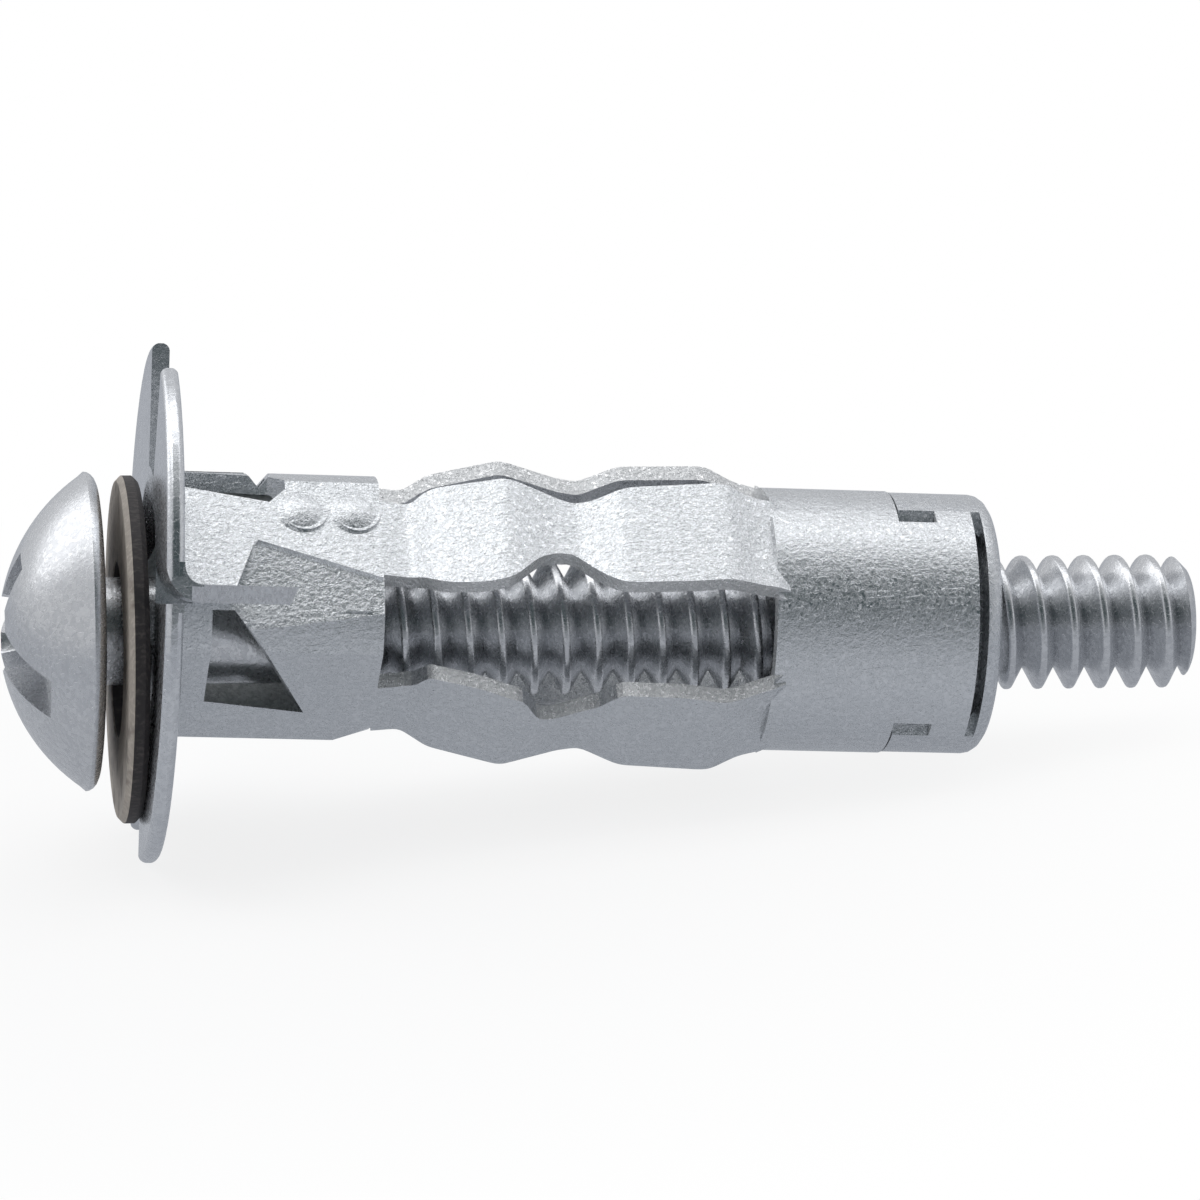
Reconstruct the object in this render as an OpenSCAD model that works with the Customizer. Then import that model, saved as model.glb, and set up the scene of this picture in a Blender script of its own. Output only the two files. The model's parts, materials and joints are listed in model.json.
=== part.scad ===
// Hollow wall anchor: a folded sheet sleeve with four collapsing legs, its end nut, a retaining
// washer and a truss-head machine screw. The anchor lies on the two corners of the flange's lower
// V gap and on the nut's rim, which is how it comes to rest on a table.
// The origin is the centre of the flange's wall-side face. Depths run from there into the wall.

/* [Pose] */
// Lean of the screw in its nut, in degrees
screw_lean = 2; // [0:0.25:2]

/* [Sheet sleeve] */
// Thickness of the sheet
sheet_t = 0.43; // [0.3:0.01:0.45]
// Radius of the flange disc
flange_r = 6.35; // [5.5:0.05:8]
// Distance from the axis to the neck's outer flats
neck_flat = 2.72; // [2.7:0.01:2.9]
// Radius over the neck's round corners, about the axis
neck_r = 3.25; // [3.1:0.01:3.4]
// Depth at which the leg slots start
legs_start = 5.1; // [4.6:0.1:6]
// Length of the leg slots
legs_len = 9.6; // [9.6:0.1:14]
// Outer radius of the round collar
collar_r = 3.25; // [3.1:0.05:3.5]
// Length of the collar, from the slots to its end edge
collar_len = 5; // [4:0.1:7]
// Turn of the legs and the neck's flats about the axis, in degrees
sleeve_turn = 37; // [30:1:45]

/* [Legs] */
// Distance from the axis to the outer face at the first bulge
bulge_a = 3.45; // [3.3:0.01:3.7]
// Distance from the axis to the outer face at the second bulge
bulge_b = 3.5; // [3.3:0.01:3.7]
// Distance from the axis to the outer face in the dip next to the neck
dip_neck = 2.62; // [2.6:0.01:2.8]
// Distance from the axis to the outer face in the dip between the bulges
dip_mid = 3.08; // [2.8:0.01:3.2]
// Half width of a leg at the bulges
leg_half_wide = 1.75; // [1.5:0.01:1.85]
// Half width of a leg in the dip next to the neck
leg_half_neck = 1.3; // [1.1:0.01:1.4]
// Half width of a leg at the weak point between the bulges
leg_half_mid = 0.86; // [0.7:0.01:1.2]

/* [Flange openings and prongs] */
// Edge angles of the V gap in the flange, in degrees from the near side
vgap_from = 63; // [50:1:75]
// Far edge angle of the V gap in the flange, in degrees
vgap_to = 89; // [80:1:100]
// Depth of the slit that carries the V gap on down the neck
slit_depth = 2.4; // [1:0.1:3]
// Width of that slit
slit_w = 0.3; // [0.1:0.05:0.5]
// Length of the prongs below the flange
prong_len = 3.3; // [2:0.1:4]
// Inner bend radius where the flange turns into a prong
prong_bend_r = 0.17; // [0.1:0.01:0.3]
// Depth of the neck window's edge next to the flange
window_start = 0.94; // [0.6:0.02:1.2]
// Depth of the neck window's far corner
window_end = 3.4; // [2.8:0.1:4]
// Height of the neck window
window_h = 2.45; // [2:0.05:2.6]
// Radius of the two pressed dimples on each neck flat that has them
dimple_r = 0.55; // [0.4:0.01:0.6]
// Height of the dimples
dimple_h = 0.06; // [0.03:0.01:0.1]

/* [Nut] */
// Thickness of the nut's sheet
nut_t = 0.4; // [0.3:0.01:0.5]
// Gap between the collar's end edge and the nut's plate
nut_gap = 0.25; // [0.1:0.01:0.4]
// Radius of the nut's plate
nut_r = 3.22; // [3:0.01:3.25]
// Height of the chamfer round the nut's plate
nut_edge = 0.15; // [0.1:0.01:0.2]
// Length of the nut's arms in the collar's notches
arm_len = 1.8; // [1:0.1:2.5]
// Half width of the nut's arms
arm_half = 1.35; // [1:0.05:1.6]
// Clearance between the nut's arms and the collar's notches
arm_clear = 0.05; // [0.02:0.01:0.1]
// Outer radius of the nut's threaded hub
hub_r = 2.3; // [2.1:0.05:2.6]
// Length of the hub, inwards from the plate
hub_len = 1.6; // [1:0.1:2.5]

/* [Screw] */
// Radius over the thread
thread_r = 1.675; // [1.6:0.005:1.7]
// Pitch of the thread
thread_pitch = 0.794; // [0.7:0.001:0.9]
// Depth of the thread's grooves
thread_depth = 0.42; // [0.3:0.01:0.45]
// Radius of the plain shank under the head
shank_r = 1.5; // [1.3:0.01:1.6]
// Depth at which the thread starts
thread_start = 4; // [2:0.1:5]
// Length of screw that stands out past the nut's plate
tip_out = 5.25; // [4:0.05:12]
// Length of the chamfer at the tip
tip_chamfer = 0.35; // [0.2:0.05:0.6]
// Running clearance of the thread in the nut's hub
thread_clear = 0.05; // [0.02:0.01:0.09]
// Radius of the head
head_r = 3.9; // [3.6:0.05:4.2]
// Height of the head's domed part
head_dome_h = 2.12; // [1.8:0.02:2.4]
// Height of the head's straight rim
head_rim_h = 0.26; // [0.15:0.01:0.4]
// Gap between the washer and the head's bearing face
head_gap = 0.49; // [0.3:0.01:3]
// Span of the cross recess over its wings
recess_span = 4; // [3.4:0.1:4.4]
// Width of the recess's wings
recess_wing_w = 0.85; // [0.6:0.01:1]
// Depth of the recess
recess_deep = 1.75; // [1.4:0.05:1.9]
// Angle of the recess's wings, in degrees
recess_turn = 45; // [0:1:90]

/* [Washer] */
// Outer radius of the washer
washer_r = 4.25; // [4:0.05:4.6]
// Radius of the washer's hole
washer_bore_r = 2.15; // [2.15:0.01:2.4]
// Thickness of the washer
washer_t = 0.5; // [0.3:0.01:0.8]
// Distance that the washer hangs off the screw's centre
washer_off = 0.45; // [0:0.01:0.45]
// Gap between the flange and the washer at the washer's low side
washer_gap = 0.03; // [0.02:0.01:0.2]

/* [Hidden] */
$fn = 96;
overlap = 0.02;
flange_root = 0.1;
through = 20;
collar_start = legs_start + legs_len;
collar_end = collar_start + collar_len;
plate_at = collar_end + nut_gap;
plate_end = plate_at + nut_t;
arm_start = collar_end - arm_len;
lean_depth = plate_at - hub_len / 2;
lean_room = (washer_r + washer_off) * sin(screw_lean);
washer_back = sheet_t + lean_room + washer_gap;
washer_front = washer_back + washer_t;
head_at = washer_front + head_gap;
tip_at = plate_end + tip_out;
leg_turns = [0, 90, 180, 270];
half_turns = [0, 180];
// The V gap's middle points up, and the gap below it stands on its two corners.
roll = (vgap_from + vgap_to) / 2;
rest_r = flange_r * cos((vgap_to - vgap_from) / 2);
lie_angle = atan((rest_r - nut_r) / (plate_end - nut_edge));
prong_v = 0.05;
prong_root_v = prong_v + sheet_t + prong_bend_r;
prong_in = neck_r - sheet_t / 2;
prong_out = flange_r - 0.04;
dimple_depths = [3.26, 4.54];
dimple_side = 0.83;
// A leg's outer face: depth below the slot's start, then distance from the axis. The lengths
// next to the neck and the collar stay, and the leg's middle stretches with the slots.
leg_stretch = legs_len - 9.6;
leg_face = [
    [0, neck_flat], [0.7, dip_neck], [1.5, (dip_neck + bulge_a) / 2 + 0.1], [2.2, bulge_a - 0.1],
    [3.3, bulge_a], [3.7, bulge_a - 0.05], [4.5, dip_mid + 0.03],
    [5.1 + leg_stretch, dip_mid], [5.9 + leg_stretch, bulge_b - 0.05], [6.6 + leg_stretch, bulge_b],
    [8.4 + leg_stretch, bulge_b], [9.1 + leg_stretch, bulge_b - 0.3],
    [9.5 + leg_stretch, collar_r - 0.22], [9.85 + leg_stretch, collar_r - 0.4]
];
// A leg's outline: depth below the slot's start, then half width.
leg_outline = [
    [-0.2, leg_half_neck + 0.1], [0.2, leg_half_neck + 0.1], [0.75, leg_half_neck],
    [1.8, leg_half_wide - 0.1], [3.4, leg_half_wide], [4.2, leg_half_mid + 0.2], [4.7, leg_half_mid],
    [5.1 + leg_stretch, leg_half_mid + 0.06], [6.0 + leg_stretch, leg_half_wide - 0.08],
    [8.5 + leg_stretch, leg_half_wide], [9.1 + leg_stretch, leg_half_wide - 0.2],
    [9.85 + leg_stretch, leg_half_wide - 0.2]
];

// Lays the anchor's own axis, along which depths run to -Z, down in the pose in which it rests.
module lie() {
    rotate([0, lie_angle - 90, 0]) rotate([0, 0, -roll]) children();
}

// Leans the screw and washer about the middle of the nut's hub.
module lean() {
    translate([0, 0, -lean_depth]) rotate([screw_lean, 0, 0]) translate([0, 0, lean_depth]) children();
}

// Extrudes an outline between two depths.
module span(from, to) {
    translate([0, 0, -to]) linear_extrude(to - from) children();
}

// A circle with four flats, each at a given distance from the centre.
module flatted_circle(flat, r) {
    intersection() {
        circle(r);
        square(2 * flat, center = true);
    }
}

// A pie slice with its point on the axis.
module wedge(from, to, r) {
    polygon([[0, 0], [r * cos(from), r * sin(from)], [r * cos((from + to) / 2), r * sin((from + to) / 2)],
        [r * cos(to), r * sin(to)]]);
}

// The flange: a disc with a V gap at each side and a straight gap where each prong is bent out.
module flange() {
    difference() {
        span(-sheet_t, 0) circle(flange_r);
        for (a = half_turns) rotate([0, 0, a]) {
            span(-2 * sheet_t, sheet_t) difference() {
                wedge(vgap_from, vgap_to, 2 * flange_r);
                circle(neck_r + flange_root);
            }
            span(-2 * sheet_t, sheet_t) translate([prong_in, 0]) square([flange_r, prong_root_v]);
        }
    }
}

// One prong: the flange's edge bent down through a right angle, with its blade tapering to the neck.
module prong() {
    translate([prong_in, prong_root_v, -prong_bend_r]) rotate([90, 0, 90])
        linear_extrude(prong_out - prong_in) difference() {
            circle(prong_bend_r + sheet_t);
            circle(prong_bend_r);
            translate([0, -1]) square([1, 2]);
            translate([-1, -1]) square([2, 1]);
        }
    translate([0, prong_v + sheet_t, 0]) rotate([90, 0, 0]) linear_extrude(sheet_t) polygon([
        [prong_in, -prong_bend_r], [prong_out, -prong_bend_r], [prong_out - 0.2, -prong_bend_r - 0.2],
        [(prong_out + neck_r) / 2, -prong_len / 2], [neck_r + 0.15, -prong_len], [prong_in, -prong_len]
    ]);
}

// The neck: a rounded square tube with a window and a slit on each side.
module neck() {
    difference() {
        rotate([0, 0, sleeve_turn]) span(-sheet_t, legs_start) flatted_circle(neck_flat, neck_r);
        for (a = half_turns) rotate([0, 0, a]) {
            rotate([90, 0, 90]) linear_extrude(through) polygon([
                [-0.12, -window_start], [-0.12, -window_start - 0.56],
                [-0.12 - window_h, -window_end], [0.1 - window_h, -window_start]
            ]);
            rotate([0, 0, vgap_to - 4]) span(-2 * sheet_t, slit_depth)
                translate([1, -slit_w / 2]) square([through, slit_w]);
            rotate([0, 0, vgap_to - 4]) span(slit_depth - 0.35, slit_depth)
                translate([1, -slit_w]) square([through, 2 * slit_w]);
        }
    }
}

// The through hole of the flange and neck, with the bend's rounding at its mouth.
module neck_hole() {
    rotate([0, 0, sleeve_turn]) span(-2 * sheet_t, legs_start + overlap)
        flatted_circle(neck_flat - sheet_t, neck_r - sheet_t);
    cylinder(h = sheet_t + overlap, r1 = neck_flat - sheet_t, r2 = neck_r - sheet_t / 2);
}

// One leg: a strip of sheet folded along its face line and cut to its outline.
module leg() {
    outer = [for (p = leg_face) [p[1], -legs_start - p[0]]];
    inner = [for (i = [len(leg_face) - 1:-1:0]) [leg_face[i][1] - sheet_t, -legs_start - leg_face[i][0]]];
    left = [for (p = leg_outline) [p[1], -legs_start - p[0]]];
    right = [for (i = [len(leg_outline) - 1:-1:0]) [-leg_outline[i][1], -legs_start - leg_outline[i][0]]];
    intersection() {
        rotate([90, 0, 0]) linear_extrude(2 * collar_r, center = true) polygon(concat(outer, inner));
        rotate([90, 0, 90]) linear_extrude(2 * bulge_b) polygon(concat(left, right));
    }
}

// The collar: a round tube with a notch at each side for the nut's arms.
module collar() {
    difference() {
        span(collar_start, collar_end) circle(collar_r);
        span(collar_start - 1, collar_end + 1) circle(collar_r - sheet_t);
        for (a = half_turns) rotate([0, 0, 90 + a]) span(arm_start - arm_clear, collar_end + 1)
            translate([0, -arm_half - arm_clear]) square([through, 2 * (arm_half + arm_clear)]);
    }
}

module sleeve() {
    color("silver") lie() {
        difference() {
            union() {
                flange();
                neck();
            }
            neck_hole();
        }
        for (a = half_turns) rotate([0, 0, a]) prong();
        for (a = leg_turns) rotate([0, 0, sleeve_turn + a]) leg();
        collar();
        for (a = half_turns, depth = dimple_depths) rotate([0, 0, sleeve_turn + a])
            translate([neck_flat - overlap, dimple_side, -depth]) rotate([0, 90, 0])
            cylinder(h = dimple_h + overlap, r = dimple_r);
    }
}

module nut() {
    color("gainsboro") lie() difference() {
        union() {
            span(plate_at, plate_end - nut_edge) circle(nut_r);
            translate([0, 0, -plate_end]) cylinder(h = nut_edge, r1 = nut_r - nut_edge, r2 = nut_r);
            span(plate_at - hub_len, plate_at + overlap) circle(hub_r);
            for (a = half_turns) rotate([0, 0, 90 + a]) span(arm_start, plate_at + overlap) intersection() {
                difference() {
                    circle(nut_r);
                    circle(nut_r - nut_t);
                }
                translate([0, -arm_half]) square([through, 2 * arm_half]);
            }
        }
        lean() span(plate_at - hub_len - 1, plate_end + 1) circle(thread_r + thread_clear);
    }
}

// The threaded length between two depths. Each turn of the thread is a V groove of its own round
// the screw, with flanks at 60 degrees.
module thread(from, to) {
    turns = floor((to - from) / thread_pitch);
    groove_half = thread_depth * tan(30);
    middles = [for (i = [0:turns - 1]) to - (i + 0.5) * thread_pitch];
    sides = [for (m = middles) each [
        [thread_r, -m - groove_half], [thread_r - thread_depth, -m], [thread_r, -m + groove_half]
    ]];
    rotate_extrude() polygon(concat([[0, -to], [thread_r, -to]], sides, [[thread_r, -from], [0, -from]]));
}

// The cross recess: two wings that taper inwards, and the cone at their middle.
module recess(top) {
    half = recess_span / 2;
    floor_half = recess_span / 5;
    for (a = [0, 90]) rotate([0, 0, recess_turn + a]) rotate([90, 0, 0])
        linear_extrude(recess_wing_w, center = true) polygon([
            [-half, top + 1], [half, top + 1], [half, top - 0.35],
            [floor_half, top - recess_deep], [-floor_half, top - recess_deep], [-half, top - 0.35]
        ]);
    translate([0, 0, top - recess_deep]) cylinder(h = recess_deep + 1, r1 = 0.6, r2 = 1.15);
}

module screw() {
    dome_r = (head_r * head_r + head_dome_h * head_dome_h) / (2 * head_dome_h);
    rim_top = head_at + head_rim_h;
    top = rim_top + head_dome_h;
    color("lightgray") lie() lean() difference() {
        union() {
            translate([0, 0, head_at]) cylinder(h = head_rim_h, r = head_r);
            intersection() {
                translate([0, 0, top - dome_r]) sphere(dome_r);
                translate([0, 0, rim_top - overlap]) cylinder(h = head_dome_h + 1, r = head_r);
            }
            span(-head_at - overlap, thread_start) circle(shank_r);
            translate([0, 0, -thread_start - (thread_r - shank_r)])
                cylinder(h = thread_r - shank_r, r1 = thread_r, r2 = shank_r);
            thread(thread_start + thread_r - shank_r, tip_at - tip_chamfer);
            translate([0, 0, -tip_at])
                cylinder(h = tip_chamfer, r1 = thread_r - tip_chamfer, r2 = thread_r);
        }
        recess(top);
    }
}

module washer() {
    color("tan") lie() lean() translate([0, -washer_off, 0]) span(-washer_front, -washer_back) difference() {
        circle(washer_r);
        circle(washer_bore_r);
    }
}

sleeve();
nut();
screw();
washer();
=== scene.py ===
"""Looks of a hollow wall anchor: slotted sheet sleeve, end nut, fibre washer and truss-head machine screw."""

import json
import logging
import math
from collections.abc import Callable, Sequence
from dataclasses import dataclass, field
from enum import Enum

import bmesh
import bpy
from mathutils import Matrix, Vector


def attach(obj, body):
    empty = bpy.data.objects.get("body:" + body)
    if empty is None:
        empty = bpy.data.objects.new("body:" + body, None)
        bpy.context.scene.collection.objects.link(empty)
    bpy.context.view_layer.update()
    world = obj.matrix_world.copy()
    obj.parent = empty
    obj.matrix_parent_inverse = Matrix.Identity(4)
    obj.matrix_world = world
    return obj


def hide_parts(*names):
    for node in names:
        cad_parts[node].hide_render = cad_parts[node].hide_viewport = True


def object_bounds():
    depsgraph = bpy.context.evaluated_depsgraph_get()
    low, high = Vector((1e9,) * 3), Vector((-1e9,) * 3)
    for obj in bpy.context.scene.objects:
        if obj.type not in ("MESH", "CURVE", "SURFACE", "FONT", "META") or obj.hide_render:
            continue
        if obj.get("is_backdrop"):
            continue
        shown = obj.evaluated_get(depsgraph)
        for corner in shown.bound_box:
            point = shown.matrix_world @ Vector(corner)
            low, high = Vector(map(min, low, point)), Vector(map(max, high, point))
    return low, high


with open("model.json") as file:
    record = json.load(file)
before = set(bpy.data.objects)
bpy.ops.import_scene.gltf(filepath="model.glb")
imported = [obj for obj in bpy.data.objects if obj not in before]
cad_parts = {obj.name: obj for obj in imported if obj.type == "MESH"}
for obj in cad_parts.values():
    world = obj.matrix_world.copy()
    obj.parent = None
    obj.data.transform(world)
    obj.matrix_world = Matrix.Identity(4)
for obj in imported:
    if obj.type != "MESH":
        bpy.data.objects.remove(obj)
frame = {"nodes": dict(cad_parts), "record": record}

LOG = logging.getLogger("wall_anchor")
MM = 0.001
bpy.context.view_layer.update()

Point = tuple[float, float]
Tint = tuple[float, float, float, float]


class Body(Enum):
    """The moving bodies that the pieces ride on."""

    SLEEVE = "sleeve_body"
    WASHER = "washer_body"
    SCREW = "screw_body"


class Cut(Enum):
    """What a Boolean modifier does with its cutter."""

    CARVE = "DIFFERENCE"
    KEEP = "INTERSECT"
    WELD = "UNION"


# ---------------------------------------------------------------- frames


@dataclass(frozen=True)
class AnchorFrame:
    """The anchor's own millimetre frames: z runs along the axis to the head, depths run the other way.

    Args:
        sleeve: Turns the sleeve's millimetres into the scene's metres.
        screw: The same for the screw and washer, which lean in the nut.
        pivot_depth: Depth of the point about which they lean; not used.
    """

    sleeve: Matrix
    screw: Matrix
    pivot_depth: float

    @staticmethod
    def columns(x: Vector, y: Vector, z: Vector, origin: Vector) -> Matrix:
        """Builds a placement matrix.

        Args:
            x: Direction of the frame's x.
            y: Direction of the frame's y.
            z: Direction of the frame's z.
            origin: The frame's origin, in metres.

        Returns:
            The matrix from millimetres in the frame to metres in the scene.
        """
        turned = Matrix((x, y, z)).transposed().to_4x4()
        return Matrix.Translation(origin) @ turned @ Matrix.Scale(MM, 4)

    @classmethod
    def from_record(cls, record: dict) -> "AnchorFrame":
        """Reads both frames from the part's mounts and joints.

        Args:
            record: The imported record.

        Returns:
            The anchor's frames.
        """
        mounts = {mount["name"]: mount for mount in record["mounts"]}
        joints = {joint["name"]: joint for joint in record["behaviour"]["joints"]}
        z = -Vector(mounts["wall_hole"]["axis"]).normalized()
        seat = Vector(mounts["wall_seat"]["pos_m"])
        seat = (seat - z * seat.dot(z)).normalized()
        x = Matrix.Rotation(math.radians(-30), 3, z) @ seat
        y = z.cross(x)
        lean_z = -Vector(joints["screw_turn"]["axis"]).normalized()
        pivot = Vector(joints["screw_turn"]["pos_m"])
        depth = -pivot.dot(z)
        lean_y = lean_z.cross(x).normalized()
        screw = cls.columns(lean_y.cross(lean_z), lean_y, lean_z, pivot + lean_z * depth)
        return cls(cls.columns(x, y, z, Vector()), screw, depth / MM)


# ---------------------------------------------------------------- mesh work


def pick(obj: bpy.types.Object) -> None:
    """Selects one object alone and makes it active."""
    if bpy.context.mode != "OBJECT":
        bpy.ops.object.mode_set(mode="OBJECT")
    bpy.ops.object.select_all(action="DESELECT")
    obj.select_set(True)
    bpy.context.view_layer.objects.active = obj


def edit(obj: bpy.types.Object, mode: str = "VERT") -> None:
    """Opens an object in edit mode with nothing selected.

    Args:
        obj: The object.
        mode: VERT, EDGE or FACE.
    """
    pick(obj)
    bpy.ops.object.mode_set(mode="EDIT")
    bpy.ops.mesh.select_mode(type=mode)
    bpy.ops.mesh.select_all(action="DESELECT")


def done() -> None:
    """Leaves edit mode."""
    bpy.ops.object.mode_set(mode="OBJECT")


def choose_faces(obj: bpy.types.Object, test: Callable[[bmesh.types.BMFace], bool]) -> int:
    """Selects the faces that pass a test, in edit mode.

    Args:
        obj: The object being edited.
        test: Says whether a face is wanted.

    Returns:
        The number of faces selected.
    """
    mesh = bmesh.from_edit_mesh(obj.data)
    for face in mesh.faces:
        face.select_set(bool(test(face)))
    mesh.select_flush_mode()
    bmesh.update_edit_mesh(obj.data)
    return sum(face.select for face in mesh.faces)


def choose_edges(obj: bpy.types.Object, test: Callable[[bmesh.types.BMEdge], bool]) -> int:
    """Selects the edges that pass a test, in edit mode.

    Args:
        obj: The object being edited.
        test: Says whether an edge is wanted.

    Returns:
        The number of edges selected.
    """
    mesh = bmesh.from_edit_mesh(obj.data)
    for edge in mesh.edges:
        edge.select_set(bool(test(edge)))
    mesh.select_flush_mode()
    bmesh.update_edit_mesh(obj.data)
    return sum(edge.select for edge in mesh.edges)


def chain(name: str, points: Sequence[Point]) -> bpy.types.Object:
    """Draws a chain of edges in the plane y = 0 by extruding one vertex along it.

    Args:
        name: Name of the new object.
        points: Distance from the axis and height of each point.

    Returns:
        The object that holds the chain.
    """
    bpy.ops.object.select_all(action="DESELECT")
    bpy.ops.mesh.primitive_plane_add(size=1, location=(0, 0, 0))
    obj = bpy.context.object
    obj.name = name
    bpy.ops.object.mode_set(mode="EDIT")
    bpy.ops.mesh.select_mode(type="VERT")
    bpy.ops.mesh.select_all(action="SELECT")
    bpy.ops.mesh.merge(type="COLLAPSE")
    bpy.ops.transform.translate(value=(points[0][0], 0, points[0][1]))
    for before, after in zip(points, points[1:]):
        step = (after[0] - before[0], 0, after[1] - before[1])
        bpy.ops.mesh.extrude_vertices_move(TRANSFORM_OT_translate={"value": step})
    done()
    return obj


def apply_modifier(obj: bpy.types.Object, kind: str, **settings: object) -> None:
    """Adds a modifier, sets it and applies it.

    Args:
        obj: The object.
        kind: The modifier's type.
        settings: The modifier's settings.
    """
    pick(obj)
    modifier = obj.modifiers.new(kind.lower(), kind)
    for key, value in settings.items():
        setattr(modifier, key, value)
    bpy.ops.object.modifier_apply(modifier=modifier.name)


def outward(obj: bpy.types.Object, merge: float = 1e-4) -> None:
    """Merges doubles and turns every face outwards.

    Args:
        obj: The object.
        merge: Distance under which vertices are merged.
    """
    edit(obj)
    bpy.ops.mesh.select_all(action="SELECT")
    bpy.ops.mesh.remove_doubles(threshold=merge)
    bpy.ops.mesh.normals_make_consistent(inside=False)
    done()


def turned(name: str, points: Sequence[Point], steps: int = 96) -> bpy.types.Object:
    """Turns a profile about the z axis, as on a lathe.

    Args:
        name: Name of the new object.
        points: Distance from the axis and height of each point, closed on itself or at the axis.
        steps: Number of steps round the axis.

    Returns:
        The turned object.
    """
    obj = chain(name, points)
    apply_modifier(obj, "SCREW", axis="Z", angle=math.tau, steps=steps, render_steps=steps,
                   use_merge_vertices=True, merge_threshold=1e-4)
    outward(obj)
    return obj


def combine(target: bpy.types.Object, cutter: bpy.types.Object, cut: Cut, keep_cutter: bool = False) -> None:
    """Cuts, keeps or welds with another solid.

    Args:
        target: The object that changes.
        cutter: The other solid, removed afterwards.
        cut: What is done.
        keep_cutter: Leaves the other solid where it is.
    """
    apply_modifier(target, "BOOLEAN", operation=cut.value, object=cutter, solver="EXACT")
    if not keep_cutter:
        bpy.data.objects.remove(cutter)


def rounded(points: Sequence[Point], reach: float, steps: int = 3) -> list[Point]:
    """Rounds the corners of an open line.

    Args:
        points: The line's points.
        reach: Distance from a corner at which its rounding starts, at most a third of each side.
        steps: Number of steps in each rounding.

    Returns:
        The points of the rounded line.
    """
    line = [Vector(point) for point in points]
    result = [line[0]]
    for before, corner, after in zip(line, line[1:], line[2:]):
        start = corner + (before - corner) * min(reach / (before - corner).length, 1 / 3)
        end = corner + (after - corner) * min(reach / (after - corner).length, 1 / 3)
        for i in range(steps + 1):
            t = i / steps
            result.append(start * (1 - t) ** 2 + corner * 2 * t * (1 - t) + end * t ** 2)
    return [tuple(point) for point in (*result, line[-1])]


def prism(name: str, outline: Sequence[Point], low: float, high: float) -> bpy.types.Object:
    """Extrudes a closed outline in x and y from one height to another.

    Args:
        name: Name of the new object.
        outline: The outline's points.
        low: Height of the lower end.
        high: Height of the upper end.

    Returns:
        The prism.
    """
    obj = chain(name, [(u, v) for u, v in outline])
    edit(obj)
    bpy.ops.mesh.select_all(action="SELECT")
    bpy.ops.mesh.edge_face_add()
    bpy.ops.mesh.extrude_region_move(TRANSFORM_OT_translate={"value": (0, high - low, 0)})
    done()
    obj.data.transform(Matrix(((1, 0, 0, 0), (0, 0, 1, 0), (0, 1, 0, low), (0, 0, 0, 1))))
    outward(obj)
    return obj


def block(name: str, size: Sequence[float], centre: Sequence[float], turn: Matrix | None = None) -> bpy.types.Object:
    """A cutter: a box of a given size and place, turned about the origin.

    Args:
        name: Name of the new object.
        size: Full lengths along x, y and z.
        centre: The box's centre before it is turned.
        turn: Rotation about the origin.

    Returns:
        The box.
    """
    bpy.ops.object.select_all(action="DESELECT")
    bpy.ops.mesh.primitive_cube_add(size=1, location=(0, 0, 0))
    obj = bpy.context.object
    obj.name = name
    place = Matrix.Translation(centre) @ Matrix.Diagonal((*size, 1))
    obj.data.transform((turn.to_4x4() if turn else Matrix()) @ place)
    return obj


def soften(obj: bpy.types.Object, width: float, segments: int = 2, angle: float = 30) -> None:
    """Rounds the edges sharper than an angle.

    Args:
        obj: The object.
        width: Width of the rounding.
        segments: Faces across it.
        angle: Smallest angle between faces, in degrees, that is rounded.
    """
    apply_modifier(obj, "BEVEL", width=width, segments=segments, limit_method="ANGLE",
                   angle_limit=math.radians(angle), use_clamp_overlap=True)
    edit(obj)
    bpy.ops.mesh.select_all(action="SELECT")
    bpy.ops.mesh.dissolve_degenerate(threshold=1e-4)
    done()


def smooth(obj: bpy.types.Object, angle: float = 30) -> None:
    """Shades an object smooth up to an angle, in degrees."""
    pick(obj)
    bpy.ops.object.shade_smooth_by_angle(angle=math.radians(angle))


def join(pieces: Sequence[bpy.types.Object]) -> bpy.types.Object:
    """Joins objects into the first of them.

    Args:
        pieces: The objects.

    Returns:
        The joined object.
    """
    pick(pieces[0])
    for piece in pieces[1:]:
        piece.select_set(True)
    bpy.ops.object.join()
    return pieces[0]


def seat(obj: bpy.types.Object, place: Matrix, body: Body, slot: str, *materials: bpy.types.Material) -> None:
    """Puts a finished piece in its place, on its body and in its materials.

    Args:
        obj: The piece, in its own frame's millimetres.
        place: The frame's matrix.
        body: The body that it rides on.
        slot: Name of the CAD part that the piece replaces, which is hidden.
        materials: Its materials, in the order of their slots.
    """
    pick(obj)
    obj.matrix_world = place @ obj.matrix_world
    bpy.ops.object.transform_apply(location=True, rotation=True, scale=True)
    if len(obj.data.materials) == 0:
        for material in materials:
            obj.data.materials.append(material)
    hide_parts(slot)
    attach(obj, body.value)
    LOG.info("%s: %d faces on %s", obj.name, len(obj.data.polygons), body.value)


# ---------------------------------------------------------------- finishes


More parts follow.
